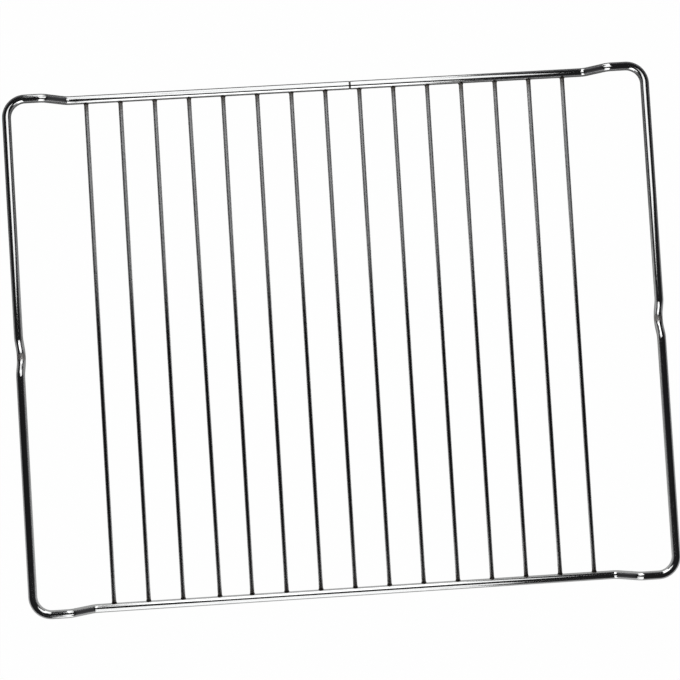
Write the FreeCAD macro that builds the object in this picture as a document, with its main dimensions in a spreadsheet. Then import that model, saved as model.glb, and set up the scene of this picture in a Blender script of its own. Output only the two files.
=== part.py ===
"""Oven shelf rack: one rod bent into a closed frame, with cross wires welded between its two long bars."""
import FreeCAD, Part
import math
import os

import Sketcher

# Each driving size in millimetres or degrees, with what it is.
SIZES = (
    ("rack_width", 450.0, "over the two side rods"),
    ("rack_depth", 361.0, "over the back bar and the front bar"),
    ("rod_diameter", 6.0, "frame rod"),
    ("side_rise", 12.0, "height of the side rods' axis over the bars' axis"),
    ("corner_radius", 13.0, "bend of the rod's axis at the four corners"),
    ("shoulder_length", 9.9, "straight run between a corner bend and a jog"),
    ("jog_angle", 40.5, "slope of the jogs that drop to the bars"),
    ("jog_radius", 7.0, "bends of the rod's axis at a jog"),
    ("notch_depth", 4.8, "fall of the rod's axis in the stop notch of a side rod"),
    ("notch_angle", 27.7, "slope of the notch's two sides"),
    ("notch_tip_radius", 13.0, "bend at the foot of the notch"),
    ("notch_shoulder_radius", 8.0, "bends at the ends of the notch"),
    ("seam_offset", 16.5, "butt weld on the back bar, from the middle"),
    ("seam_width", 1.6, "hollow round the butt weld"),
    ("seam_depth", 0.25, "depth of that hollow"),
    ("wire_count", 15, "cross wires"),
    ("wire_diameter", 3.0, "cross wire"),
    ("wire_margin", 11.9, "from the foot of a jog to the outermost wire"),
    ("grid_offset", -1.0, "middle wire from the middle of the rack"),
    ("stray_wire", 4, "the wire that was welded out of true, from the left"),
    ("stray_shift", 1.5, "how far its front end is off to the right"),
)

# Positions that follow from the sizes, each from those before it.
DERIVED = (
    ("rod_radius", "dims.rod_diameter / 2"),
    ("side_x", "dims.rack_width / 2 - rod_radius"),
    ("bar_y", "dims.rack_depth / 2 - rod_radius"),
    ("bar_z", "rod_radius"),
    ("side_z", "bar_z + dims.side_rise"),
    ("corner_x", "side_x - dims.corner_radius"),
    ("corner_y", "bar_y - dims.corner_radius"),
    ("jog_top_x", "corner_x - dims.shoulder_length"),
    ("jog_bends_x", "2 * dims.jog_radius * sin(dims.jog_angle)"),
    ("jog_bends_z", "2 * dims.jog_radius * (1 - cos(dims.jog_angle))"),
    ("jog_foot_x", "jog_top_x - jog_bends_x - (dims.side_rise - jog_bends_z) / tan(dims.jog_angle)"),
    ("wire_pitch", "2 * (jog_foot_x - dims.wire_margin) / (dims.wire_count - 1)"),
)

# The sketcher's own numbers for the points of a line or an arc, and for a sketch's axes.
START, END, CENTRE = range(1, 4)
H_AXIS, V_AXIS = range(-1, -3, -1)
ORIGIN = H_AXIS

doc = FreeCAD.newDocument("oven_shelf_rack")


def make_sheet():
    """Writes the driving sizes into the sheet and returns them by name."""
    sheet = doc.addObject("Spreadsheet::Sheet", "dims")
    for row, (alias, number, note) in enumerate(SIZES, start=1):
        sheet.set("A%d" % row, alias)
        sheet.set("B%d" % row, str(number))
        sheet.set("C%d" % row, note)
        sheet.setAlias("B%d" % row, alias)
    doc.recompute()
    return {alias: number for alias, number, note in SIZES}


def make_layout():
    """Makes the set of positions that the sketches share, each one an expression on the sheet."""
    layout = doc.addObject("App::VarSet", "layout")
    for name, expression in DERIVED:
        layout.addProperty("App::PropertyFloat", name, "Positions")
        layout.setExpression(name, expression)
        doc.recompute()
    return layout


def origin_part(body, role):
    """Returns the plane or axis of a body's own origin that has the given role."""
    return next(item for item in body.Origin.OriginFeatures if item.Role == role)


def new_sketch(body, name, plane, offsets):
    """Makes a sketch on an origin plane of the body, moved by expressions on the plane's own axes."""
    sketch = body.newObject("Sketcher::SketchObject", name)
    sketch.AttachmentSupport = [(origin_part(body, plane), "")]
    sketch.MapMode = "FlatFace"
    for axis, expression in offsets.items():
        sketch.setExpression("AttachmentOffset.Base.%s" % axis, expression)
    doc.recompute()
    return sketch


def hold(sketch, name, expression, *constraint):
    """Adds a dimension to a sketch, named and bound to an expression."""
    index = sketch.addConstraint(Sketcher.Constraint(*constraint))
    sketch.renameConstraint(index, name)
    sketch.setExpression("Constraints.%s" % name, expression)


def join(sketch, *constraint):
    """Adds a geometric constraint to a sketch."""
    sketch.addConstraint(Sketcher.Constraint(*constraint))


def point(x, y):
    """Returns a point of a sketch plane."""
    return FreeCAD.Vector(x, y, 0.0)


def line(sketch, start, end):
    """Adds a line from start to end and returns its index."""
    return sketch.addGeometry(Part.LineSegment(point(*start), point(*end)), False)


def arc(sketch, centre, radius, first, last):
    """Adds an arc between two angles in degrees, anticlockwise, and returns its index."""
    circle = Part.Circle(point(*centre), FreeCAD.Vector(0, 0, 1), radius)
    return sketch.addGeometry(Part.ArcOfCircle(circle, math.radians(first), math.radians(last)), False)


def circle(sketch, centre, radius):
    """Adds a circle and returns its index."""
    return sketch.addGeometry(Part.Circle(point(*centre), FreeCAD.Vector(0, 0, 1), radius), False)


def round_section(body, name, plane, offsets, diameter):
    """Draws a round section about the sketch's own origin, with its diameter from the sheet."""
    sketch = new_sketch(body, name, plane, offsets)
    ring = circle(sketch, (0.0, 0.0), size[diameter] / 2)
    join(sketch, "Coincident", ring, CENTRE, ORIGIN, START)
    hold(sketch, "across", "dims." + diameter, "Diameter", ring, size[diameter])
    return sketch


def bar_spine(body):
    """Draws half of a long bar's axis: the bar, the jog up and the shoulder as far as the corner."""
    sketch = new_sketch(body, "bar_spine", "XZ_Plane", {"y": "layout.bar_z", "z": "-layout.bar_y"})
    slope = math.radians(size["jog_angle"])
    radius, rise = size["jog_radius"], size["side_rise"]
    low, top, corner = layout.jog_foot_x, layout.jog_top_x, layout.corner_x
    foot = (low + radius * math.sin(slope), radius * (1 - math.cos(slope)))
    head = (top - radius * math.sin(slope), rise - radius * (1 - math.cos(slope)))
    bar = line(sketch, (0.0, 0.0), (low, 0.0))
    lower = arc(sketch, (low, radius), radius, 270, 270 + size["jog_angle"])
    ramp = line(sketch, foot, head)
    upper = arc(sketch, (top, rise - radius), radius, 90, 90 + size["jog_angle"])
    shoulder = line(sketch, (top, rise), (corner, rise))
    join(sketch, "Coincident", bar, START, ORIGIN, START)
    join(sketch, "Horizontal", bar)
    join(sketch, "Tangent", bar, END, lower, START)
    join(sketch, "Tangent", lower, END, ramp, START)
    join(sketch, "Tangent", ramp, END, upper, END)
    join(sketch, "Tangent", upper, START, shoulder, START)
    join(sketch, "Horizontal", shoulder)
    join(sketch, "Equal", lower, upper)
    hold(sketch, "bend", "dims.jog_radius", "Radius", lower, radius)
    hold(sketch, "slope", "dims.jog_angle", "Angle", ramp, slope)
    hold(sketch, "rise", "dims.side_rise", "DistanceY", ORIGIN, START, shoulder, START, rise)
    hold(sketch, "jog_top", "layout.jog_top_x", "DistanceX", ORIGIN, START, shoulder, START, top)
    hold(sketch, "corner", "layout.corner_x", "DistanceX", ORIGIN, START, shoulder, END, corner)
    return sketch


def side_spine(body):
    """Draws half of a side rod's axis: half the stop notch and the straight run as far as the corner."""
    sketch = new_sketch(body, "side_spine", "YZ_Plane", {"y": "layout.side_z", "z": "layout.side_x"})
    tip_radius, shoulder_radius = size["notch_tip_radius"], size["notch_shoulder_radius"]
    depth, degrees, corner = size["notch_depth"], size["notch_angle"], layout.corner_y
    slope = math.radians(degrees)
    bends = tip_radius + shoulder_radius
    half = bends * math.sin(slope) + (depth - bends * (1 - math.cos(slope))) / math.tan(slope)
    foot = (tip_radius * math.sin(slope), tip_radius * (1 - math.cos(slope)) - depth)
    head = (half - shoulder_radius * math.sin(slope), shoulder_radius * (math.cos(slope) - 1))
    tip = arc(sketch, (0.0, tip_radius - depth), tip_radius, 270, 270 + degrees)
    ramp = line(sketch, foot, head)
    shoulder = arc(sketch, (half, -shoulder_radius), shoulder_radius, 90, 90 + degrees)
    run = line(sketch, (half, 0.0), (corner, 0.0))
    join(sketch, "PointOnObject", tip, START, V_AXIS)
    join(sketch, "PointOnObject", tip, CENTRE, V_AXIS)
    join(sketch, "Tangent", tip, END, ramp, START)
    join(sketch, "Tangent", ramp, END, shoulder, END)
    join(sketch, "Tangent", shoulder, START, run, START)
    join(sketch, "PointOnObject", run, START, H_AXIS)
    join(sketch, "Horizontal", run)
    hold(sketch, "tip", "dims.notch_tip_radius", "Radius", tip, tip_radius)
    hold(sketch, "shoulder", "dims.notch_shoulder_radius", "Radius", shoulder, shoulder_radius)
    hold(sketch, "slope", "dims.notch_angle", "Angle", ramp, slope)
    hold(sketch, "depth", "dims.notch_depth", "DistanceY", tip, START, ORIGIN, START, depth)
    hold(sketch, "corner", "layout.corner_y", "DistanceX", ORIGIN, START, run, END, corner)
    return sketch


def mirror_all(body, name, plane):
    """Mirrors the whole body so far in one of its origin planes and joins the two halves."""
    mirrored = body.newObject("PartDesign::Mirrored", name)
    mirrored.TransformMode = "Whole shape"
    mirrored.MirrorPlane = (origin_part(body, plane), [""])
    mirrored.Refine = True
    body.Tip = mirrored
    doc.recompute()


def sweep(body, name, section, spine):
    """Carries the rod's section along a spine."""
    pipe = body.newObject("PartDesign::AdditivePipe", name)
    pipe.Profile = section
    pipe.Spine = spine
    pipe.Transition = "Transformed"
    doc.recompute()


def make_frame():
    """Builds the frame rod: a quarter of the loop, mirrored twice, then the butt weld on the back bar."""
    body = doc.addObject("PartDesign::Body", "frame_rod")
    body.Label = "frame_rod"
    bar_start = {"x": "layout.bar_y", "y": "layout.bar_z"}
    bar_section = round_section(body, "bar_section", "YZ_Plane", bar_start, "rod_diameter")
    sweep(body, "half_bar", bar_section, bar_spine(body))

    corner_place = {"x": "layout.corner_x", "y": "layout.side_z", "z": "-layout.corner_y"}
    corner_section = new_sketch(body, "corner_section", "XZ_Plane", corner_place)
    ring = circle(corner_section, (size["corner_radius"], 0.0), layout.rod_radius)
    join(corner_section, "PointOnObject", ring, CENTRE, H_AXIS)
    hold(corner_section, "bend", "dims.corner_radius", "DistanceX", ORIGIN, START, ring, CENTRE,
         size["corner_radius"])
    hold(corner_section, "rod", "dims.rod_diameter", "Diameter", ring, size["rod_diameter"])
    corner = body.newObject("PartDesign::Revolution", "corner")
    corner.Profile = corner_section
    corner.ReferenceAxis = (corner_section, ["V_Axis"])
    corner.Angle = 90.0
    doc.recompute()

    notch_foot = {"x": "layout.side_x", "y": "layout.side_z - dims.notch_depth"}
    side_section = round_section(body, "side_section", "XZ_Plane", notch_foot, "rod_diameter")
    sweep(body, "half_side", side_section, side_spine(body))
    mirror_all(body, "left_half", "YZ_Plane")
    mirror_all(body, "front_half", "XZ_Plane")

    seam_place = {"y": "layout.bar_z", "z": "-layout.bar_y"}
    seam_section = new_sketch(body, "seam_section", "XZ_Plane", seam_place)
    place, depth, half = size["seam_offset"], size["seam_depth"], size["seam_width"] / 2
    floor, lid = layout.rod_radius - depth, layout.rod_radius + depth
    left = line(seam_section, (place - 2 * half, lid), (place, floor))
    right = line(seam_section, (place, floor), (place + 2 * half, lid))
    top = line(seam_section, (place + 2 * half, lid), (place - 2 * half, lid))
    join(seam_section, "Coincident", left, END, right, START)
    join(seam_section, "Coincident", right, END, top, START)
    join(seam_section, "Coincident", top, END, left, START)
    join(seam_section, "Horizontal", top)
    join(seam_section, "Equal", left, right)
    hold(seam_section, "place", "dims.seam_offset", "DistanceX", ORIGIN, START, left, END, place)
    hold(seam_section, "floor", "layout.rod_radius - dims.seam_depth",
         "DistanceY", ORIGIN, START, left, END, floor)
    hold(seam_section, "lid", "2 * dims.seam_depth", "DistanceY", left, END, top, START, lid - floor)
    hold(seam_section, "width", "2 * dims.seam_width", "DistanceX", top, END, top, START, 4 * half)
    seam = body.newObject("PartDesign::Groove", "seam")
    seam.Profile = seam_section
    seam.ReferenceAxis = (seam_section, ["H_Axis"])
    seam.Angle = 360.0
    body.Tip = seam
    doc.recompute()
    return body


def wire_seats(body):
    """Draws the sections of the two bars that a wire's ends are cut to sit on."""
    sketch = new_sketch(body, body.Name + "_seats", "YZ_Plane", {})
    back = circle(sketch, (layout.bar_y, 0.0), layout.rod_radius)
    front = circle(sketch, (-layout.bar_y, 0.0), layout.rod_radius)
    join(sketch, "PointOnObject", back, CENTRE, H_AXIS)
    join(sketch, "Symmetric", front, CENTRE, back, CENTRE, ORIGIN, START)
    join(sketch, "Equal", front, back)
    hold(sketch, "bar_axis", "layout.bar_y", "DistanceX", ORIGIN, START, back, CENTRE, layout.bar_y)
    hold(sketch, "rod", "dims.rod_diameter", "Diameter", back, size["rod_diameter"])
    return sketch


def make_wire(number):
    """Builds one cross wire at its place in the row, its ends cut to sit on the two bars."""
    name = "wire_%02d" % number
    body = doc.addObject("PartDesign::Body", name)
    body.Label = name
    place = "dims.grid_offset + (%d - (dims.wire_count + 1) / 2) * layout.wire_pitch" % number
    section = round_section(body, name + "_section", "XZ_Plane", {}, "wire_diameter")
    if number == size["stray_wire"]:
        place += " + dims.stray_shift / 2"
        lean = "atan(dims.stray_shift / (2 * layout.bar_y))"
        upright = FreeCAD.Rotation(FreeCAD.Vector(0, 1, 0), 1.0)
        section.AttachmentOffset = FreeCAD.Placement(FreeCAD.Vector(), upright)
        section.setExpression("AttachmentOffset.Rotation.Angle", lean)
    body.setExpression("Placement.Base.x", place)
    body.setExpression("Placement.Base.z", "layout.bar_z")

    length = body.newObject("PartDesign::Pad", name + "_length")
    length.Profile = section
    length.Midplane = True
    length.setExpression("Length", "2 * layout.bar_y")
    doc.recompute()
    seats = body.newObject("PartDesign::Pocket", name + "_ends")
    seats.Profile = wire_seats(body)
    seats.Type = "ThroughAll"
    seats.Midplane = True
    body.Tip = seats
    doc.recompute()
    return body


def export(bodies):
    """Checks every object and writes each body to its own file."""
    for item in doc.Objects:
        if "Invalid" in item.State or "Error" in item.State:
            raise RuntimeError("%s did not build: %s" % (item.Name, item.State))
    os.makedirs("parts", exist_ok=True)
    for body in bodies:
        if body.Shape.isNull() or not body.Shape.isValid() or len(body.Shape.Solids) != 1:
            raise RuntimeError("%s is not one sound solid" % body.Label)
        body.Shape.exportStep("parts/%s.step" % body.Label)


size = make_sheet()
layout = make_layout()
frame = make_frame()
wires = [make_wire(number) for number in range(1, size["wire_count"] + 1)]
doc.recompute()
export([frame] + wires)
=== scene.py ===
"""Looks of an oven shelf rack: a chromed rod bent into a closed frame, with thin wires welded across it.

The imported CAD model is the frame. Each of its solids is rebuilt here as a smooth surface of the same size in
the same place, so that the chrome mirrors the studio without facets, with the weld collars and the plating's
finish.
"""
import logging
import math
from dataclasses import dataclass, field
from enum import Enum

import bpy
import numpy as np
from mathutils import Euler, Matrix, Vector


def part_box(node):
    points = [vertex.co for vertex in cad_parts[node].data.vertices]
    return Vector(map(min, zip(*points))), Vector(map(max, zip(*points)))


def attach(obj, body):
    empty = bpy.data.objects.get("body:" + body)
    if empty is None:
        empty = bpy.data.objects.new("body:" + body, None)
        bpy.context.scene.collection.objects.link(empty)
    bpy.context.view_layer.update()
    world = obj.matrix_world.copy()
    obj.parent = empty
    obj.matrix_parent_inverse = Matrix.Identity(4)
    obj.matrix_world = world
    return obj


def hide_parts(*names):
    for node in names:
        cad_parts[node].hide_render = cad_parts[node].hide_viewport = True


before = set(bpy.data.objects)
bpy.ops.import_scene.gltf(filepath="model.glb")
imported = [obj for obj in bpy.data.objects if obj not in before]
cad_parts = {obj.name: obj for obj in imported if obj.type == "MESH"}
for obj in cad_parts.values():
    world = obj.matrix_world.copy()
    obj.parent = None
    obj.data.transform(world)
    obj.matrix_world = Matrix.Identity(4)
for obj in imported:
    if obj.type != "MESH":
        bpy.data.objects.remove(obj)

MM = 0.001
UP = np.array((0.0, 0.0, 1.0))
BODY = "root"
ROUND_MAP = "around_and_along"
NOISE_MIDDLE = 0.5

Colour = tuple[float, float, float]
Triple = tuple[float, float, float]
Span = tuple[float, float]
Socket = bpy.types.NodeSocket

WHITE: Colour = (1.0, 1.0, 1.0)

log = logging.getLogger("oven_shelf_rack")


class Slot(Enum):
    """The record's material slots."""

    FRAME = "frame_chrome"
    WIRE = "wire_chrome"


class Mark(Enum):
    """Attributes that a piece's mesh carries for its finish."""

    STOCK = "stock"
    TOP = "top"
    RUB = "rub"
    WELD = "weld"


class End(Enum):
    """A wire's two ends, by the bar that each one is welded to."""

    BACK = "back"
    FRONT = "front"


@dataclass
class Route:
    """A rod's centre line, drawn as straight runs and round bends, each one tangent to the one before.

    Attributes:
        at: the point reached so far, in metres.
        heading: the unit direction there.
        bend_step: the largest turn between two points of a bend, in degrees.
        points: stretches of points drawn so far.
        headings: the unit directions at those points.
    """

    at: np.ndarray
    heading: np.ndarray
    bend_step: float = 4.0
    points: list[np.ndarray] = field(default_factory=list)
    headings: list[np.ndarray] = field(default_factory=list)

    def _add(self, points: np.ndarray, headings: np.ndarray) -> None:
        """Appends a stretch and moves on to its end.

        Args:
            points: of the stretch, as rows of x, y, z.
            headings: the unit directions at those points.
        """
        self.points.append(points)
        self.headings.append(headings)
        self.at, self.heading = points[-1], headings[-1]

    def run(self, length: float, step: float) -> None:
        """Adds a straight run: the point reached plus t times the heading, for equal steps of t.

        Args:
            length: of the run.
            step: the longest distance between two points.
        """
        count = math.ceil(length / step) + 1
        t = np.linspace(0.0, length, count)[1:, None]
        self._add(self.at + t * self.heading, np.repeat(self.heading[None], count - 1, axis=0))

    def _arc(self, radius: float, degrees: float, inward: np.ndarray) -> None:
        """Adds an arc: a point circles a centre that lies one radius inward, and the heading turns with it.

        Args:
            radius: of the arc.
            degrees: that the heading turns by.
            inward: unit direction from the start to the centre.
        """
        angle = math.radians(degrees)
        count = math.ceil(angle / math.radians(self.bend_step)) + 1
        a = np.linspace(0.0, angle, count)[1:, None]
        centre = self.at + radius * inward
        points = centre + radius * (np.sin(a) * self.heading - np.cos(a) * inward)
        self._add(points, np.cos(a) * self.heading + np.sin(a) * inward)

    def climb(self, radius: float, degrees: float) -> None:
        """Bends the rod up, or down where degrees are below zero.

        Args:
            radius: of the bend.
            degrees: that the heading turns by.
        """
        right = np.cross(self.heading, UP)
        over = np.cross(right / np.linalg.norm(right), self.heading)
        self._arc(radius, abs(degrees), math.copysign(1.0, degrees) * over)

    def turn_right(self, radius: float, degrees: float) -> None:
        """Bends the rod to the right in its own level."""
        self._arc(radius, degrees, np.cross(self.heading, UP))

    def line(self) -> tuple[np.ndarray, np.ndarray]:
        """Gives the points and headings as two arrays of n rows."""
        return np.concatenate(self.points), np.concatenate(self.headings)


@dataclass(frozen=True)
class Tube:
    """A smooth closed tube on a grid of points: each row is a ring, and each ring closes on itself.

    Attributes:
        name: of the object and its mesh.
        rings: points as rows, columns and x, y, z.
        along: distance along the tube of each row, and of the end of the last stretch where it is a loop.
        looped: whether the last ring joins the first. Otherwise both ends are closed.
        marks: values for each point, as rows and columns.
    """

    name: str
    rings: np.ndarray
    along: np.ndarray
    looped: bool
    marks: dict[Mark, np.ndarray]

    def _wall(self) -> tuple[np.ndarray, np.ndarray]:
        """Joins neighbouring points of neighbouring rings into four-sided faces.

        Returns:
            The corners of each face, and each corner's share of a turn and distance along the tube.
        """
        rows, columns = self.rings.shape[:2]
        row, column = np.indices((rows if self.looped else rows - 1, columns)).reshape(2, -1)
        here, onward = row * columns, (row + 1) % rows * columns
        beside = (column + 1) % columns
        corners = np.stack((here + column, here + beside, onward + beside, onward + column), axis=1)
        around = np.stack((column, column + 1, column + 1, column), axis=1) / columns
        along = self.along[np.stack((row, row, row + 1, row + 1), axis=1)]
        return corners, np.stack((around, along), axis=2)

    def _caps(self) -> tuple[np.ndarray, np.ndarray]:
        """Closes each end by a fan of triangles from the ring's middle, which comes after the rings' points.

        Returns:
            The corners of each face, and each corner's share of a turn and distance along the tube.
        """
        rows, columns = self.rings.shape[:2]
        column = np.arange(columns)
        beside, last = (column + 1) % columns, (rows - 1) * columns
        middle = np.full(columns, rows * columns)
        fans = (middle, beside, column), (middle + 1, last + column, last + beside)
        turns = (column + 0.5, column + 1, column), (column + 0.5, column, column + 1)
        corners = np.concatenate([np.stack(fan, axis=1) for fan in fans])
        around = np.concatenate([np.stack(turn, axis=1) for turn in turns]) / columns
        along = np.broadcast_to(np.repeat(self.along[[0, -1]], columns)[:, None], around.shape)
        return corners, np.stack((around, along), axis=2)

    def _for_points(self, values: np.ndarray) -> np.ndarray:
        """Lists values of the grid's points, followed by the end rings' means where the ends are closed.

        Args:
            values: as rows and columns, of a number or a vector each.

        Returns:
            The values of the mesh's points, one after the other.
        """
        listed = values.reshape(-1, *values.shape[2:])
        if self.looped:
            return listed
        return np.concatenate((listed, values[[0, -1]].mean(axis=1)))

    def build(self) -> bpy.types.Object:
        """Makes the mesh, with its map and its marks, and puts it in the scene.

        Returns:
            The object, at the origin, with its place in its mesh.
        """
        stretches = [self._wall()] if self.looped else [self._wall(), self._caps()]
        faces = [face for corners, _ in stretches for face in corners.tolist()]
        map_places = np.concatenate([places.reshape(-1, 2) for _, places in stretches])
        mesh = bpy.data.meshes.new(self.name)
        mesh.from_pydata(self._for_points(self.rings).tolist(), [], faces)
        layer = mesh.uv_layers.new(name=ROUND_MAP)
        layer.uv.foreach_set("vector", map_places.astype(np.float32).ravel())
        for mark, values in self.marks.items():
            kind, key = ("FLOAT_VECTOR", "vector") if values.ndim == 3 else ("FLOAT", "value")
            attribute = mesh.attributes.new(mark.value, kind, "POINT")
            attribute.data.foreach_set(key, self._for_points(values).astype(np.float32).ravel())
        mesh.shade_smooth()
        mesh.update()
        piece = bpy.data.objects.new(self.name, mesh)
        bpy.context.scene.collection.objects.link(piece)
        return piece


@dataclass(frozen=True)
class Grain:
    """A noise pattern.

    Attributes:
        scale: of the noise, per metre.
        detail: of the noise.
        stretch: what a place is multiplied by first, below 1 where the pattern is drawn out along that axis.
        band: the values of the noise where the pattern starts to show and where it shows fully.
    """

    scale: float
    detail: float
    stretch: Triple | None = None
    band: Span = (0.0, 1.0)


class Tree:
    """Adds nodes to a node tree and links them, so that a finish reads from its pattern to its shader."""

    def __init__(self, tree: bpy.types.NodeTree) -> None:
        """Starts on the tree of a material, a world or a node group."""
        self.tree = tree

    def add(self, kind: str, inputs: dict | None = None, **settings: object) -> bpy.types.Node:
        """Adds a node.

        Args:
            kind: the node's type.
            inputs: a value or an output socket for each named or numbered input.
            settings: properties of the node.

        Returns:
            The node.
        """
        node = self.tree.nodes.new(kind)
        for key, value in settings.items():
            setattr(node, key, value)
        for key, value in (inputs or {}).items():
            if isinstance(value, Socket):
                self.tree.links.new(value, node.inputs[key])
            else:
                node.inputs[key].default_value = value
        return node

    def group(self, group: bpy.types.NodeTree, inputs: dict[str, object]) -> bpy.types.bpy_prop_collection:
        """Places a node group and gives its outputs."""
        return self.add("ShaderNodeGroup", inputs, node_tree=group).outputs

    def math(self, operation: str, *values: object) -> Socket:
        """Adds a sum on numbers and gives its output."""
        return self.add("ShaderNodeMath", dict(enumerate(values)), operation=operation).outputs[0]

    def mix(self, share: object, a: object, b: object) -> Socket:
        """Adds a mix of two colours and gives its output."""
        return self.add("ShaderNodeMix", {0: share, 6: a, 7: b}, data_type="RGBA").outputs[2]

    def stretch(self, place: Socket, sizes: Triple) -> Socket:
        """Multiplies a place by a size for each axis and gives the result."""
        return self.add("ShaderNodeVectorMath", {0: place, 1: sizes}, operation="MULTIPLY").outputs[0]

    def noise(self, place: Socket, scale: object, detail: float) -> Socket:
        """Adds a noise at a place and gives its value, from 0 to 1."""
        node = self.add("ShaderNodeTexNoise", {"Vector": place, "Scale": scale, "Detail": detail})
        return node.outputs[0]

    def grain(self, place: Socket, grain: Grain) -> Socket:
        """Adds a grain's noise at a place and gives its value, from 0 to 1."""
        spread = self.stretch(place, grain.stretch) if grain.stretch else place
        return self.noise(spread, grain.scale, grain.detail)

    def ramp(self, value: Socket, span: Span, to: Span = (0.0, 1.0)) -> Socket:
        """Maps a value smoothly from a span to another range and gives the result."""
        inputs = {"Value": value, 1: span[0], 2: span[1], 3: to[0], 4: to[1]}
        return self.add("ShaderNodeMapRange", inputs, interpolation_type="SMOOTHSTEP").outputs[0]


def opaque(colour: Colour) -> tuple[float, float, float, float]:
    """Gives a colour with an alpha of 1, as a colour socket takes it."""
    return (*colour, 1.0)


def new_material(name: str) -> tuple[bpy.types.Material, Tree]:
    """Starts a material with no nodes.

    Args:
        name: of the material.

    Returns:
        The material and its tree.
    """
    material = bpy.data.materials.new(name)
    material.use_nodes = True
    material.node_tree.nodes.clear()
    return material, Tree(material.node_tree)


def new_group(
    name: str, inputs: dict[str, str], outputs: dict[str, str]
) -> tuple[Tree, dict[str, Socket], bpy.types.Node]:
    """Starts a shader node group with named sockets.

    Args:
        name: of the group.
        inputs: kind of socket for each input's name.
        outputs: kind of socket for each output's name.

    Returns:
        The group's tree, its inputs by name as sockets to link from, and the node that takes its outputs.
    """
    group = bpy.data.node_groups.new(name, "ShaderNodeTree")
    for direction, sockets in (("INPUT", inputs), ("OUTPUT", outputs)):
        for socket, kind in sockets.items():
            group.interface.new_socket(socket, in_out=direction, socket_type="NodeSocket" + kind)
    source, sink = group.nodes.new("NodeGroupInput"), group.nodes.new("NodeGroupOutput")
    return Tree(group), {socket: source.outputs[socket] for socket in inputs}, sink


@dataclass(frozen=True)
class PlatingGrains:
    """The patterns in the plating of both finishes.

    Attributes:
        line_stretch: stretch of the lines that the drawing die left along the stock.
        line_detail: of those lines' noise.
        rub_patches: where the longer rubs are.
        rub_streaks: the rubs themselves.
        broad_clouds: slow clouding of the plating.
        fine_clouds: quick clouding of the plating.
        broad_share: of the broad clouds in the two together.
        cloud_band: values of the two together where the plating is clear and where it is clouded.
        top_shade_edge: the unevenness of the edge of the top's painted shade.
        top_shade_unevenness: how far that moves the edge.
        top_shade_band: upward part of the surface's direction where the painted shade starts and where it is
            full.
        spot_edge: the raggedness of a spot's edge, of spoilt plating on a notch's tip and of painted shade
            round a weld.
        spot_raggedness: how far that moves the edge.
        spot_band: nearness where a spot starts and where it is full.
        spot_rim: nearness that the raggedness can't take a spot beyond.
    """

    line_stretch: Triple = (0.02, 1.0, 1.0)
    line_detail: float = 3.0
    rub_patches: Grain = Grain(26.0, 2.0, (1.0, 4.0, 4.0), (0.56, 0.70))
    rub_streaks: Grain = Grain(900.0, 1.0, (0.06, 1.0, 1.0), (0.52, 0.66))
    broad_clouds: Grain = Grain(14.0, 2.0)
    fine_clouds: Grain = Grain(160.0, 3.0)
    broad_share: float = 0.65
    cloud_band: Span = (0.38, 0.66)
    top_shade_edge: Grain = Grain(420.0, 2.0, (0.15, 1.0, 1.0))
    top_shade_unevenness: float = 0.25
    top_shade_band: Span = (0.55, 0.95)
    spot_edge: Grain = Grain(900.0, 3.0)
    spot_raggedness: float = 0.7
    spot_band: Span = (0.25, 0.85)
    spot_rim: Span = (0.02, 0.3)


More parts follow.
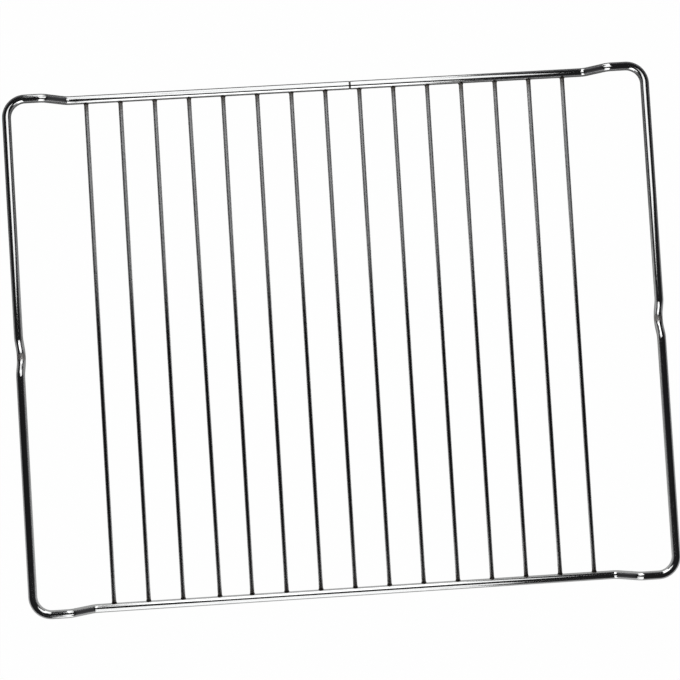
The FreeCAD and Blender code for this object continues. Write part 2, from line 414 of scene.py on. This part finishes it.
class PlatingGroups:
    """The effects that both chrome finishes share, each one a node group that is built once."""

    def __init__(self, grains: PlatingGrains) -> None:
        """Builds the groups.

        Args:
            grains: the patterns in the plating.
        """
        self.grains = grains
        self.drawn_lines = self._drawn_lines()
        self.bloom = self._bloom()
        self.top_shade = self._top_shade()
        self.spot = self._spot()

    def _drawn_lines(self) -> bpy.types.NodeTree:
        """Fine lines that the drawing die left along the stock, and a few longer rubs on top of the plating.

        Returns:
            The group: a place on the straight stock goes in, the lines and the rubs come out, from 0 to 1.
        """
        grains = self.grains
        sockets = {"Stock": "Vector", "Fineness": "Float"}
        tree, given, out = new_group("drawn_lines", sockets, {"Lines": "Float", "Rubs": "Float"})
        long_grain = tree.stretch(given["Stock"], grains.line_stretch)
        lines = tree.noise(long_grain, given["Fineness"], grains.line_detail)
        patches = tree.ramp(tree.grain(given["Stock"], grains.rub_patches), grains.rub_patches.band)
        streaks = tree.ramp(tree.grain(given["Stock"], grains.rub_streaks), grains.rub_streaks.band)
        tree.tree.links.new(lines, out.inputs["Lines"])
        tree.tree.links.new(tree.math("MULTIPLY", patches, streaks), out.inputs["Rubs"])
        return tree.tree

    def _bloom(self) -> bpy.types.NodeTree:
        """Slow changes of tone in the plating, from clear to slightly clouded.

        Returns:
            The group: an object place and two tones go in, the tone and the cloudiness come out.
        """
        grains = self.grains
        sockets = {"Place": "Vector", "Clear": "Color", "Clouded": "Color"}
        tree, given, out = new_group("plating_bloom", sockets, {"Tone": "Color", "Cloud": "Float"})
        broad = tree.math("MULTIPLY", tree.grain(given["Place"], grains.broad_clouds), grains.broad_share)
        fine = tree.math("MULTIPLY", tree.grain(given["Place"], grains.fine_clouds), 1.0 - grains.broad_share)
        cloud = tree.ramp(tree.math("ADD", broad, fine), grains.cloud_band)
        tree.tree.links.new(tree.mix(cloud, given["Clear"], given["Clouded"]), out.inputs["Tone"])
        tree.tree.links.new(cloud, out.inputs["Cloud"])
        return tree.tree

    def _top_shade(self) -> bpy.types.NodeTree:
        """Painted shade along the top: the tone turns darker where the surface faces up, with an uneven edge.

        Returns:
            The group: the upward part of the surface's direction, a place on the straight stock and two tones
            go in, the tone comes out.
        """
        grains = self.grains
        sockets = {"Top": "Float", "Stock": "Vector", "Sound": "Color", "Shaded": "Color"}
        tree, given, out = new_group("top_shade", sockets, {"Tone": "Color"})
        uneven = tree.math("SUBTRACT", tree.grain(given["Stock"], grains.top_shade_edge), NOISE_MIDDLE)
        reach = tree.math("MULTIPLY_ADD", uneven, grains.top_shade_unevenness, given["Top"])
        tone = tree.mix(tree.ramp(reach, grains.top_shade_band), given["Sound"], given["Shaded"])
        tree.tree.links.new(tone, out.inputs["Tone"])
        return tree.tree

    def _spot(self) -> bpy.types.NodeTree:
        """A spot with a ragged edge: spoilt plating on a stop notch's tip, heat tint at the butt weld, and
        painted shade round a wire's weld.

        Returns:
            The group: nearness to the spot, a place and two tones go in, the tone and the dullness come out.
        """
        grains = self.grains
        sockets = {"Near": "Float", "Place": "Vector", "Sound": "Color", "Marked": "Color"}
        tree, given, out = new_group("spoilt_and_shaded_spot", sockets, {"Tone": "Color", "Dull": "Float"})
        ragged = tree.math("SUBTRACT", tree.grain(given["Place"], grains.spot_edge), NOISE_MIDDLE)
        reach = tree.math("ADD", given["Near"], tree.math("MULTIPLY", ragged, grains.spot_raggedness))
        rim = tree.ramp(given["Near"], grains.spot_rim)
        dull = tree.math("MULTIPLY", tree.ramp(reach, grains.spot_band), rim)
        tree.tree.links.new(tree.mix(dull, given["Sound"], given["Marked"]), out.inputs["Tone"])
        tree.tree.links.new(dull, out.inputs["Dull"])
        return tree.tree


@dataclass(frozen=True)
class ChromeFinish:
    """Bright chrome on drawn steel: a mirror with faint lines along the stock, clouding, a heat-tinted butt
    weld, and painted shade round the wires' welds and along the top.

    Attributes:
        name: of the material.
        clear: tone of the clear plating.
        clouded: tone of the clouded plating.
        shaded_top: tone of the top, painted shade that dims what the top mirrors.
        rubbed: tone of the stop notches' tips.
        weld_shade_and_scorch: tone round the welds: painted shade where the wires meet the bars, and heat tint
            at the butt weld.
        edge_tint: tone where the surface turns away from the eye.
        polish: roughness of the clear plating.
        die_grain: how far the drawing lines spread the reflections round the stock.
        line_dulling: roughness that the drawing lines add.
        rub_dulling: roughness that the rubs add.
        cloud_dulling: roughness that the clouding adds.
        spot_dulling: roughness that the notches' tips have more.
        weld_mark_dulling: roughness that the plating round the welds has more.
        fineness: of the drawing lines.
        line_depth: of the drawing lines.
        rub_depth: of the rubs, as a share of the lines' depth.
    """

    name: str
    clear: Colour = (0.56, 0.565, 0.565)
    clouded: Colour = (0.48, 0.485, 0.475)
    shaded_top: Colour = (0.54, 0.545, 0.545)
    rubbed: Colour = (0.40, 0.385, 0.375)
    weld_shade_and_scorch: Colour = (0.11, 0.10, 0.09)
    edge_tint: Colour = (0.6, 0.605, 0.61)
    polish: float = 0.06
    die_grain: float = 0.1
    line_dulling: float = 0.05
    rub_dulling: float = 0.12
    cloud_dulling: float = 0.03
    spot_dulling: float = 0.45
    weld_mark_dulling: float = 0.14
    fineness: float = 2600.0
    line_depth: float = 0.004 * MM
    rub_depth: float = 0.5

    def material(self, groups: PlatingGroups) -> bpy.types.Material:
        """Builds the material.

        Args:
            groups: the shared effects.

        Returns:
            The material, with its colour, roughness and bump from the groups.
        """
        material, tree = new_material(self.name)
        marks = {mark: tree.add("ShaderNodeAttribute", attribute_name=mark.value).outputs for mark in Mark}
        stock = marks[Mark.STOCK]["Vector"]
        place = tree.add("ShaderNodeTexCoord").outputs["Object"]
        lines = tree.group(groups.drawn_lines, {"Stock": stock, "Fineness": self.fineness})
        tones = {"Clear": opaque(self.clear), "Clouded": opaque(self.clouded)}
        bloom = tree.group(groups.bloom, {"Place": place, **tones})
        # Painted shade along the top: the tone turns darker where the surface faces up.
        tones = {"Sound": bloom["Tone"], "Shaded": opaque(self.shaded_top)}
        top_shading = tree.group(groups.top_shade, {"Top": marks[Mark.TOP]["Fac"], "Stock": stock, **tones})
        tones = {"Sound": top_shading["Tone"], "Marked": opaque(self.rubbed)}
        rubbed = tree.group(groups.spot, {"Near": marks[Mark.RUB]["Fac"], "Place": place, **tones})
        # Painted shade round the wires' welds, where wire and bar meet; at the butt weld this is heat tint.
        tones = {"Sound": rubbed["Tone"], "Marked": opaque(self.weld_shade_and_scorch)}
        weld_marking = tree.group(groups.spot, {"Near": marks[Mark.WELD]["Fac"], "Place": place, **tones})
        rough = tree.math("MULTIPLY_ADD", lines["Lines"], self.line_dulling, self.polish)
        for output, amount in (
            (lines["Rubs"], self.rub_dulling),
            (bloom["Cloud"], self.cloud_dulling),
            (rubbed["Dull"], self.spot_dulling),
            (weld_marking["Dull"], self.weld_mark_dulling),
        ):
            rough = tree.math("MULTIPLY_ADD", output, amount, rough)
        height = tree.math("MULTIPLY_ADD", lines["Rubs"], -self.rub_depth, lines["Lines"])
        bump = tree.add("ShaderNodeBump", {"Height": height, "Strength": 1.0, "Distance": self.line_depth})
        round_the_rod = tree.add("ShaderNodeTangent", direction_type="UV_MAP", uv_map=ROUND_MAP)
        shader = tree.add(
            "ShaderNodeBsdfPrincipled",
            {
                "Base Color": weld_marking["Tone"],
                "Metallic": 1.0,
                "Roughness": rough,
                "Specular Tint": opaque(self.edge_tint),
                "Anisotropic": self.die_grain,
                "Tangent": round_the_rod.outputs[0],
                "Normal": bump.outputs["Normal"],
            },
        )
        tree.add("ShaderNodeOutputMaterial", {"Surface": shader.outputs[0]})
        return material


ROD_CHROME = ChromeFinish("frame_rod_chrome")
# The wires' chrome is a copy of the rod's set for how the light falls on the wires: brighter, so that the
# sides mirror the floor more brightly, and with a dark top, painted shade that dims what the top mirrors.
WIRE_CHROME = ChromeFinish(
    "cross_wire_chrome",
    clear=(0.74, 0.745, 0.745),
    clouded=(0.67, 0.675, 0.67),
    shaded_top=(0.22, 0.222, 0.225),
    edge_tint=WHITE,
    polish=0.24,
    die_grain=1.0,
    fineness=4200.0,
    line_depth=0.002 * MM,
)


def dress(piece: bpy.types.Object, node: str, material: bpy.types.Material) -> None:
    """Gives a piece its finish and puts it in its CAD node's place.

    Args:
        piece: the finished piece.
        node: the CAD node that it stands for.
        material: its finish.
    """
    piece.data.materials.append(material)
    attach(piece, BODY)
    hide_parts(node)
    log.info("%s: %d faces, for %s", piece.name, len(piece.data.polygons), node)


@dataclass(frozen=True)
class FrameRod:
    """The thick rod, bent from one straight length and welded end to end on the back bar.

    From the weld it runs along the back bar, jogs up, turns the corner, runs forward over a stop notch,
    turns, jogs down to the front bar, and comes back the same way on the other side.

    Attributes:
        node: the CAD node that it stands for.
        radius: of the rod.
        corner_radius: of a corner, at the rod's axis, as the other bends' radii are.
        corner_degrees: that a corner turns by.
        shoulder: straight run between a jog and a corner.
        jog_degrees: slope of a jog.
        jog_radius: of a jog's two bends.
        notch_depth: how far a stop notch dips.
        notch_degrees: slope of its sides.
        notch_tip_radius: of the bend at its tip.
        notch_shoulder_radius: of the bends at its two ends.
        seam_x: place of the butt weld on the back bar.
        seam_width: of the groove at the butt weld.
        seam_depth: of that groove.
        seam_rows: of points, close together, on each side of the butt weld.
        rub_length: how far the rub on a notch's tip reaches.
        weld_shade_reach: how far the painted shade reaches round a wire's weld.
        seam_glow: how far the heat tint reaches beside the butt weld.
        columns: of points round the rod.
        step: the longest distance between two points of a straight run.
    """

    node: str = "frame_rod"
    radius: float = 3.0 * MM
    corner_radius: float = 13.0 * MM
    corner_degrees: float = 90.0
    shoulder: float = 9.9 * MM
    jog_degrees: float = 40.5
    jog_radius: float = 7.0 * MM
    notch_depth: float = 4.8 * MM
    notch_degrees: float = 27.7
    notch_tip_radius: float = 13.0 * MM
    notch_shoulder_radius: float = 8.0 * MM
    seam_x: float = 16.5 * MM
    seam_width: float = 1.6 * MM
    seam_depth: float = 0.25 * MM
    seam_rows: int = 16
    rub_length: float = 3.4 * MM
    weld_shade_reach: float = 1.3 * MM
    seam_glow: float = 0.9 * MM
    columns: int = 40
    step: float = 4.0 * MM

    def half_spans(self) -> tuple[float, float, float]:
        """Gives half the rack's width and depth, and its height, as the CAD node has them."""
        low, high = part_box(self.node)
        return (high[0] - low[0]) / 2, (high[1] - low[1]) / 2, high[2] - low[2]

    def bar_y(self) -> float:
        """Gives the distance of the bars' axes from the rack's middle."""
        return self.half_spans()[1] - self.radius

    def jog_slope(self) -> float:
        """Works out a jog's straight slope, from the rise that its two bends leave to it.

        Returns:
            The slope's length.
        """
        rise = self.half_spans()[2] - 2 * self.radius
        angle = math.radians(self.jog_degrees)
        return (rise - 2 * self.jog_radius * (1 - math.cos(angle))) / math.sin(angle)

    def notch_slope(self) -> float:
        """Works out a stop notch's straight sides, from the depth that its bends leave to them.

        Returns:
            The length of each side.
        """
        angle = math.radians(self.notch_degrees)
        bends = self.notch_tip_radius + self.notch_shoulder_radius
        return (self.notch_depth - bends * (1 - math.cos(angle))) / math.sin(angle)

    def jog_foot(self) -> float:
        """Works out where the bars start to rise.

        Returns:
            The distance from the rack's middle, along x.
        """
        angle = math.radians(self.jog_degrees)
        corner = self.half_spans()[0] - self.radius - self.corner_radius
        across = 2 * self.jog_radius * math.sin(angle) + self.jog_slope() * math.cos(angle)
        return corner - self.shoulder - across

    def _jog(self, route: Route, up: bool) -> None:
        """Draws a jog.

        Args:
            route: that has reached the jog's start.
            up: whether it goes up to a side rod, and not down to a bar.
        """
        bend = self.jog_degrees if up else -self.jog_degrees
        route.climb(self.jog_radius, bend)
        route.run(self.jog_slope(), self.step)
        route.climb(self.jog_radius, -bend)

    def _side(self, route: Route) -> None:
        """Draws one side of the rack, from the end of one bar to the end of the other.

        Args:
            route: that has reached the foot of the first jog.
        """
        angle = math.radians(self.notch_degrees)
        bends = self.notch_tip_radius + self.notch_shoulder_radius
        notch = bends * math.sin(angle) + self.notch_slope() * math.cos(angle)
        straight = self.bar_y() - self.corner_radius - notch
        self._jog(route, up=True)
        route.run(self.shoulder, self.step)
        route.turn_right(self.corner_radius, self.corner_degrees)
        route.run(straight, self.step)
        route.climb(self.notch_shoulder_radius, -self.notch_degrees)
        route.run(self.notch_slope(), self.step)
        route.climb(self.notch_tip_radius, 2 * self.notch_degrees)
        route.run(self.notch_slope(), self.step)
        route.climb(self.notch_shoulder_radius, -self.notch_degrees)
        route.run(straight, self.step)
        route.turn_right(self.corner_radius, self.corner_degrees)
        route.run(self.shoulder, self.step)
        self._jog(route, up=False)

    def route(self) -> Route:
        """Draws the whole centre line, from the weld round to the weld.

        Returns:
            The route, whose last point is where it starts.
        """
        start = np.array((self.seam_x, self.bar_y(), self.radius))
        route = Route(start, np.array((1.0, 0.0, 0.0)))
        seam_step = self.seam_width / self.seam_rows
        route.run(self.seam_width, seam_step)
        route.run(self.jog_foot() - self.seam_x - self.seam_width, self.step)
        self._side(route)
        route.run(2 * self.jog_foot(), self.step)
        self._side(route)
        route.run(self.jog_foot() + self.seam_x - self.seam_width, self.step)
        route.run(self.seam_width, seam_step)
        return route

    def build(self, welds: np.ndarray) -> bpy.types.Object:
        """Carries a circle along the centre line.

        A point is the centre plus the radius times (cosine of the turn times the level side direction, plus
        sine times the direction square to it and to the heading). The radius dips at the butt weld as a
        raised cosine. Nearness to a weld, and the rub on a notch's tip, fall off as bell curves.

        Args:
            welds: middles of the wires' welds, as rows of x, y, z.

        Returns:
            The rod, with the marks for its finish on each point.
        """
        centres, headings = self.route().line()
        side = np.cross(UP, headings)
        side /= np.linalg.norm(side, axis=1, keepdims=True)
        over = np.cross(headings, side)
        pace = np.linalg.norm(centres - np.roll(centres, 1, axis=0), axis=1)
        along = np.cumsum(pace)
        to_seam = np.minimum(along, along[-1] - along)
        dip = np.cos(np.clip(to_seam / self.seam_width, 0.0, 0.5) * math.pi) ** 2
        turn = np.linspace(0.0, 2 * math.pi, self.columns, endpoint=False)
        spoke = np.cos(turn)[:, None] * side[:, None] + np.sin(turn)[:, None] * over[:, None]
        rings = centres[:, None] + (self.radius - self.seam_depth * dip)[:, None, None] * spoke
        stock = np.broadcast_to(along[:, None, None], (*rings.shape[:2], 3)).copy()
        stock[..., 1] = self.radius * np.cos(turn)
        stock[..., 2] = self.radius * np.sin(turn)
        # Nearness to the wires' welds carries painted shade on the rod where the wires meet it; nearness to
        # the butt weld carries its heat tint.
        gap = np.linalg.norm(rings[:, :, None] - welds, axis=3).min(axis=2)
        near_weld = np.exp(-((gap / self.weld_shade_reach) ** 2))
        near_seam = np.exp(-((to_seam / self.seam_glow) ** 2))
        near = np.maximum(near_weld, near_seam[:, None])
        on_side = np.abs(centres[:, 0]) > self.jog_foot()
        rub = np.exp(-((centres[:, 1] / self.rub_length) ** 2)) * on_side
        rub = np.broadcast_to(rub[:, None], near.shape)
        marks = {Mark.STOCK: stock, Mark.TOP: spoke[..., 2], Mark.RUB: rub, Mark.WELD: near}
        ends = np.append(along, along[-1] + pace[0])
        return Tube("bent_frame_rod", rings, ends, True, marks).build()


@dataclass(frozen=True)
class CrossWires:
    """The thin wires between the bars, each welded end-on, with a small uneven collar at each end.

    The fourth wire from the left was welded out of true: its front end is off to the right.

    Attributes:
        rod: that the wires are welded to.
        count: of the wires.
        radius: of a wire.
        stray: number of the wire that is out of true, from the left.
        stray_shift: how far its front end is off to the right of its back end.
        collar_swell: how far a collar stands out from the wire at the bar.
        collar_length: of a collar, along the wire.
        collar_unevenness: share of the swell that varies round the wire.
        collar_waves: how many times each of the two waves goes round the wire.
        wave_phase: the most that a wave starts further on, about one turn in radians.
        wave_numbers: numbers drawn for each collar, a height and a start for each wave.
        sunk: how far the wire's closed end is sunk in the bar.
        weld_shade_length: how far along the wire the painted shade at the weld reaches.
        columns: of points round a wire.
        end_rows: of points along a collar.
        end_crowding: power that crowds those rows towards the bar.
        middle_rows: of points along the plain run.
        far: a gap that is far from any weld.
        seed: of the numbers for the collars.
    """

    rod: FrameRod
    count: int = 15
    radius: float = 1.5 * MM
    stray: int = 4
    stray_shift: float = 1.5 * MM
    collar_swell: float = 0.42 * MM
    collar_length: float = 1.5 * MM
    collar_unevenness: float = 0.3
    collar_waves: tuple[int, int] = (2, 3)
    wave_phase: float = 6.3
    wave_numbers: int = 4
    sunk: float = 0.2 * MM
    weld_shade_length: float = 2.6 * MM
    columns: int = 28
    end_rows: int = 12
    end_crowding: float = 1.5
    middle_rows: int = 24
    far: float = 1.0
    seed: int = 15

    def node(self, number: int) -> str:
        """Gives the CAD node of a wire, counted from the left."""
        return f"wire_{number:02d}"

    def ends_x(self, number: int) -> Span:
        """Places a wire's axis between the sides of its CAD node.

        Args:
            number: of the wire, from the left.

        Returns:
            The axis's x at the back end and at the front end.
        """
        low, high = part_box(self.node(number))
        middle = (low[0] + high[0]) / 2
        lean = self.stray_shift / 2 if number == self.stray else 0.0
        return middle - lean, middle + lean

    def welds(self) -> np.ndarray:
        """Places the welds on the bars' inner faces.

        Returns:
            The middle of each weld, as rows of x, y, z.
        """
        reach = self.rod.bar_y() - self.rod.radius
        ends = [self.ends_x(number) for number in range(1, self.count + 1)]
        back = [(x, reach, self.rod.radius) for x, _ in ends]
        front = [(x, -reach, self.rod.radius) for _, x in ends]
        return np.array(back + front)

    def _collar(self, lumps: np.ndarray, turn: np.ndarray) -> tuple[np.ndarray, np.ndarray, np.ndarray]:
        """Shapes one end of a wire as a saddle on the bar, with its collar.

        At a gap d from the bar, the radius is the wire's plus the swell times (1 - d / length) squared, and
        the swell varies round the wire as two waves. The bar's face at a height h from its axis is the root
        of (bar radius squared - h squared) short of that axis, so that each point lies d short of the face.

        Args:
            lumps: four numbers from 0 to 1 that set the waves.
            turn: angles round the wire.

        Returns:
            The radius, the distance from the rack's middle and the gap, as rows from the bar and columns.
        """
        rows = np.linspace(0.0, 1.0, self.end_rows) ** self.end_crowding
        gap = np.concatenate(((-self.sunk,), rows * self.collar_length))
        first, second = self.collar_waves
        waves = lumps[0] * np.sin(first * turn + self.wave_phase * lumps[1])
        waves = waves + lumps[2] * np.sin(second * turn + self.wave_phase * lumps[3])
        swell = self.collar_swell * (1.0 + self.collar_unevenness * waves)
        fall = np.clip(1.0 - np.maximum(gap, 0.0) / self.collar_length, 0.0, 1.0) ** 2
        radius = self.radius + fall[:, None] * swell
        face = np.sqrt(self.rod.radius**2 - (radius * np.sin(turn)) ** 2)
        return radius, self.rod.bar_y() - face - gap[:, None], np.repeat(gap[:, None], len(turn), axis=1)

    def build(self, number: int, lumps: np.ndarray) -> bpy.types.Object:
        """Joins the two shaped ends of a wire by a plain round run.

        A point is the axis plus the radius times (cosine of the turn along x, plus sine along z). The axis
        goes in a straight line from the back end's x to the front end's. Nearness to a weld falls off as a
        bell curve of the gap. Each wire has a metre of the stock to itself, so no two have the same lines.

        Args:
            number: of the wire, from the left.
            lumps: two rows of four numbers, for the back collar and the front one.

        Returns:
            The wire, with the marks for its finish on each point.
        """
        turn = np.linspace(0.0, 2 * math.pi, self.columns, endpoint=False)
        shaped = {end: self._collar(row, turn) for end, row in zip(End, lumps)}
        back, front = shaped[End.BACK], shaped[End.FRONT]
        share = np.linspace(0.0, 1.0, self.middle_rows)[1:-1, None]
        y_middle = (1.0 - share) * back[1][-1] - share * front[1][-1]
        plain = np.full_like(y_middle, self.radius)
        radius = np.concatenate((back[0], plain, front[0][::-1]))
        y = np.concatenate((back[1], y_middle, -front[1][::-1]))
        gap = np.concatenate((back[2], np.full_like(y_middle, self.far), front[2][::-1]))
        x_back, x_front = self.ends_x(number)
        axis_x = x_back + (0.5 - y / (2 * self.rod.bar_y())) * (x_front - x_back)
        beside, above = radius * np.cos(turn), radius * np.sin(turn)
        rings = np.stack((axis_x + beside, y, self.rod.radius + above), axis=2)
        stock = np.stack((y + number, beside, above), axis=2)
        # Painted shade on the wire's end where it meets the bar.
        near = np.exp(-((np.maximum(gap, 0.0) / self.weld_shade_length) ** 2))
        # The upward part of the surface's direction, which carries the top's painted shade.
        top = np.broadcast_to(np.sin(turn), y.shape)
        marks = {Mark.STOCK: stock, Mark.TOP: top, Mark.RUB: np.zeros_like(y), Mark.WELD: near}
        return Tube(f"cross_wire_{number:02d}", rings, -y.mean(axis=1), False, marks).build()

    def lumps(self) -> np.ndarray:
        """Draws the numbers that make each collar a little different."""
        return np.random.default_rng(self.seed).random((self.count, len(End), self.wave_numbers))


@dataclass(frozen=True)
class PaperFloor:
    """A sheet of paper that the rack lies on: white to the eye, nearly even, with a faint mottle.

    Attributes:
        half_width: of the sheet.
        pale: its lighter tone, as a matt sheet.
        mottle: its darker tone.
        mottle_grain: where it is darker.
        lift: share of white that the eye sees.
        front_lift: share of white that the chrome mirrors in front of the rack.
        front_reach: the y where that starts to fall and where it is none.
        middle_lift: share of white that the chrome mirrors across the rack's middle.
        middle_rise: the y where that starts and where it is full.
        middle_fall: the y where that starts to fall and where it is none.
        left_fall: the x on the left where that is down to side_lift and where it is full.
        right_fall: the x on the right where it starts to fall and where it is down to side_lift.
        side_lift: the part of it that is left at the sides.
    """

    half_width: float = 30.0
    pale: Colour = (0.24, 0.24, 0.24)
    mottle: Colour = (0.22, 0.22, 0.22)
    mottle_grain: Grain = Grain(3.0, 4.0)
    lift: float = 0.99
    front_lift: float = 0.65
    front_reach: Span = (-0.20, 0.12)
    middle_lift: float = 1.0
    middle_rise: Span = (-0.10, -0.02)
    middle_fall: Span = (0.04, 0.11)
    left_fall: Span = (-0.22, -0.02)
    right_fall: Span = (0.15, 0.21)
    side_lift: float = 0.35

    def _mirrored_lift(self, tree: Tree, place: Socket) -> Socket:
        """Gives how white the sheet looks in the chrome: in front of the rack, and across its middle.

        Args:
            tree: of the sheet's material.
            place: on the sheet.

        Returns:
            The share, from 0 to 1.
        """
        axes = tree.add("ShaderNodeSeparateXYZ", {0: place}).outputs
        front = tree.ramp(axes["Y"], self.front_reach, to=(self.front_lift, 0.0))
        middle = tree.ramp(axes["Y"], self.middle_rise, to=(0.0, self.middle_lift))
        for value, reach, ends in (
            (axes["Y"], self.middle_fall, (1.0, 0.0)),
            (axes["X"], self.left_fall, (self.side_lift, 1.0)),
            (axes["X"], self.right_fall, (1.0, self.side_lift)),
        ):
            middle = tree.math("MULTIPLY", middle, tree.ramp(value, reach, to=ends))
        return tree.math("MAXIMUM", front, middle)

    def material(self) -> bpy.types.Material:
        """Builds the paper: a matt sheet, lifted to white for the eye, and in part for what mirrors it.

        Returns:
            The material.
        """
        material, tree = new_material("paper_floor")
        place = tree.add("ShaderNodeTexCoord").outputs["Object"]
        tone = tree.mix(tree.grain(place, self.mottle_grain), opaque(self.pale), opaque(self.mottle))
        sheet = tree.add("ShaderNodeBsdfDiffuse", {"Color": tone})
        glow = tree.add("ShaderNodeEmission", {"Color": opaque(WHITE), "Strength": 1.0})
        ray = tree.add("ShaderNodeLightPath").outputs
        mirrored = tree.math("MAXIMUM", ray["Is Glossy Ray"], ray["Is Transmission Ray"])
        mirrored = tree.math("MULTIPLY", mirrored, self._mirrored_lift(tree, place))
        share = tree.math("MAXIMUM", mirrored, tree.math("MULTIPLY", ray["Is Camera Ray"], self.lift))
        shown = tree.add("ShaderNodeMixShader", {0: share, 1: sheet.outputs[0], 2: glow.outputs[0]})
        tree.add("ShaderNodeOutputMaterial", {"Surface": shown.outputs[0]})
        return material

    def build(self) -> bpy.types.Object:
        """Lays the sheet under the rack.

        Returns:
            The floor, as part of the stage.
        """
        corners = self.half_width * np.array(((-1, -1, 0), (1, -1, 0), (1, 1, 0), (-1, 1, 0)), dtype=float)
        mesh = bpy.data.meshes.new("floor")
        mesh.from_pydata(corners.tolist(), [], [(0, 1, 2, 3)])
        floor = bpy.data.objects.new("floor", mesh)
        floor.data.materials.append(self.material())
        bpy.context.scene.collection.objects.link(floor)
        return floor


@dataclass(frozen=True)
class Panel:
    """A flat white diffuser that is lit evenly and faces the rack.

    Attributes:
        name: of the light.
        top: middle of its top edge.
        foot: middle of its lower edge.
        width: of both edges.
        radiance: of its face, where 1 looks white.
        mirrored: whether the chrome shows it.
    """

    name: str
    top: Triple
    foot: Triple
    width: float
    radiance: float = 1.75
    mirrored: bool = True

    def build(self) -> bpy.types.Object:
        """Hangs the diffuser as an area light, whose power is its radiance times pi times its area.

        Its own y goes up the panel, its own x goes across it, and it shines against its own z, to the rack.

        Returns:
            The light, which no camera sees.
        """
        top, foot = Vector(self.top), Vector(self.foot)
        middle, rise = (top + foot) / 2, top - foot
        up = rise.normalized()
        across = Vector((1.0, 0.0, 0.0)).cross(up).cross(up).normalized()
        if across.cross(up).dot(middle) < 0:
            across.negate()
        turn = Matrix((across, up, across.cross(up))).transposed()
        light = bpy.data.lights.new(self.name, "AREA")
        light.shape = "RECTANGLE"
        light.size, light.size_y = self.width, rise.length
        light.energy = self.radiance * math.pi * self.width * rise.length
        lamp = bpy.data.objects.new(self.name, light)
        lamp.matrix_world = Matrix.Translation(middle) @ turn.to_4x4()
        lamp.visible_camera = False
        lamp.visible_glossy = self.mirrored
        bpy.context.scene.collection.objects.link(lamp)
        return lamp


@dataclass(frozen=True)
class Studio:
    """The room round the rack, and the camera that looks down on it.

    White diffusers lean in from behind and in front, with lit walls beyond them. The room overhead and at
    the sides is dark, so that the chrome has bright bands with dark lines.

    Attributes:
        panels: the diffusers, the walls, and a fill from above that the chrome doesn't show.
        dim: tone of the unlit room in the chrome.
        dark: level of the room overhead.
        wall: level of the room near the floor.
        wall_reach: upward part of a direction where the walls start to darken and where they are dark.
        horizon: level of the horizon.
        horizon_reach: upward part of a direction where the horizon starts to fade and where it ends.
        camera_at: place of the camera.
        camera_degrees: its turns about x, y and z.
        lens: its focal length, in millimetres.
        sensor: its width, in millimetres.
        seen_from: the nearest distance that it shows.
        seen_to: the farthest one.
    """

    panels: tuple[Panel, ...] = (
        Panel("back_diffuser", top=(0.060, 0.105, 0.55), foot=(-0.044, 0.40, 0.298), width=0.45),
        Panel("back_wall", top=(-0.095, 1.2, 1.36), foot=(-0.095, 1.2, 0.0), width=0.69),
        Panel("back_wall_left", top=(-0.495, 1.2, 2.1), foot=(-0.495, 1.2, 1.3), width=0.21),
        Panel("front_diffuser", top=(-0.0575, -0.309, 0.55), foot=(-0.0575, -0.484, 0.332), width=0.485),
        Panel("front_wall", top=(-0.1045, -1.2, 1.08), foot=(-0.1045, -1.2, 0.0), width=0.685),
        Panel(
            "ceiling_fill",
            top=(0.0, 0.8, 2.2),
            foot=(0.0, -0.8, 2.2),
            width=1.6,
            radiance=2.35,
            mirrored=False,
        ),
    )
    dim: Colour = (1.0, 0.985, 1.04)
    dark: float = 0.018
    wall: float = 0.11
    wall_reach: Span = (0.2, 0.5)
    horizon: float = 0.9
    horizon_reach: Span = (0.02, 0.05)
    camera_at: Triple = (-0.02189, -0.02023, 0.83798)
    camera_degrees: Triple = (1.3688, -1.3363, -3.4841)
    lens: float = 63.044
    sensor: float = 36.0
    seen_from: float = 0.01
    seen_to: float = 200.0

    def _world(self) -> None:
        """Paints the room: white to the eye, and in the chrome dark above, dim walls and a pale horizon."""
        world = bpy.data.worlds.new("studio_room")
        world.use_nodes = True
        world.node_tree.nodes.clear()
        tree = Tree(world.node_tree)
        direction = tree.add("ShaderNodeTexCoord").outputs["Generated"]
        height = tree.add("ShaderNodeSeparateXYZ", {0: direction}).outputs["Z"]
        wall = tree.ramp(height, self.wall_reach, to=(self.wall, self.dark))
        low = tree.ramp(height, self.horizon_reach, to=(self.horizon, 0.0))
        seen = tree.add("ShaderNodeLightPath").outputs["Is Camera Ray"]
        level = tree.math("MAXIMUM", tree.math("MAXIMUM", low, wall), seen)
        tone = tree.mix(seen, opaque(self.dim), opaque(WHITE))
        room = tree.add("ShaderNodeBackground", {"Color": tone, "Strength": level})
        tree.add("ShaderNodeOutputWorld", {"Surface": room.outputs[0]})
        bpy.context.scene.world = world

    def _camera(self) -> None:
        """Hangs the camera over the rack, as the photograph was taken."""
        lens = bpy.data.cameras.new("camera")
        lens.sensor_width = self.sensor
        lens.lens = self.lens
        lens.clip_start, lens.clip_end = self.seen_from, self.seen_to
        camera = bpy.data.objects.new("camera", lens)
        camera.location = self.camera_at
        camera.rotation_euler = Euler([math.radians(angle) for angle in self.camera_degrees])
        bpy.context.scene.collection.objects.link(camera)
        bpy.context.scene.camera = camera

    def build(self, floor: PaperFloor) -> None:
        """Sets up the room, the floor, the lights and the camera.

        Args:
            floor: that the rack lies on.
        """
        bpy.context.scene.view_settings.view_transform = "Standard"
        self._world()
        floor.build()
        for panel in self.panels:
            panel.build()
        self._camera()
        log.info("studio: %d panels", len(self.panels))


def main() -> None:
    """Builds the rack and the studio round the CAD frame."""
    logging.basicConfig(level=logging.INFO, format="%(name)s: %(message)s")
    log.info("frame: %d nodes", len(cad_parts))
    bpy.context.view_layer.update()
    groups = PlatingGroups(PlatingGrains())
    rod = FrameRod()
    wires = CrossWires(rod)
    rod_chrome = ROD_CHROME.material(groups)
    wire_chrome = WIRE_CHROME.material(groups)
    dress(rod.build(wires.welds()), rod.node, rod_chrome)
    for number, lumps in enumerate(wires.lumps(), start=1):
        dress(wires.build(number, lumps), wires.node(number), wire_chrome)
    Studio().build(PaperFloor())


if __name__ == "__main__":
    main()
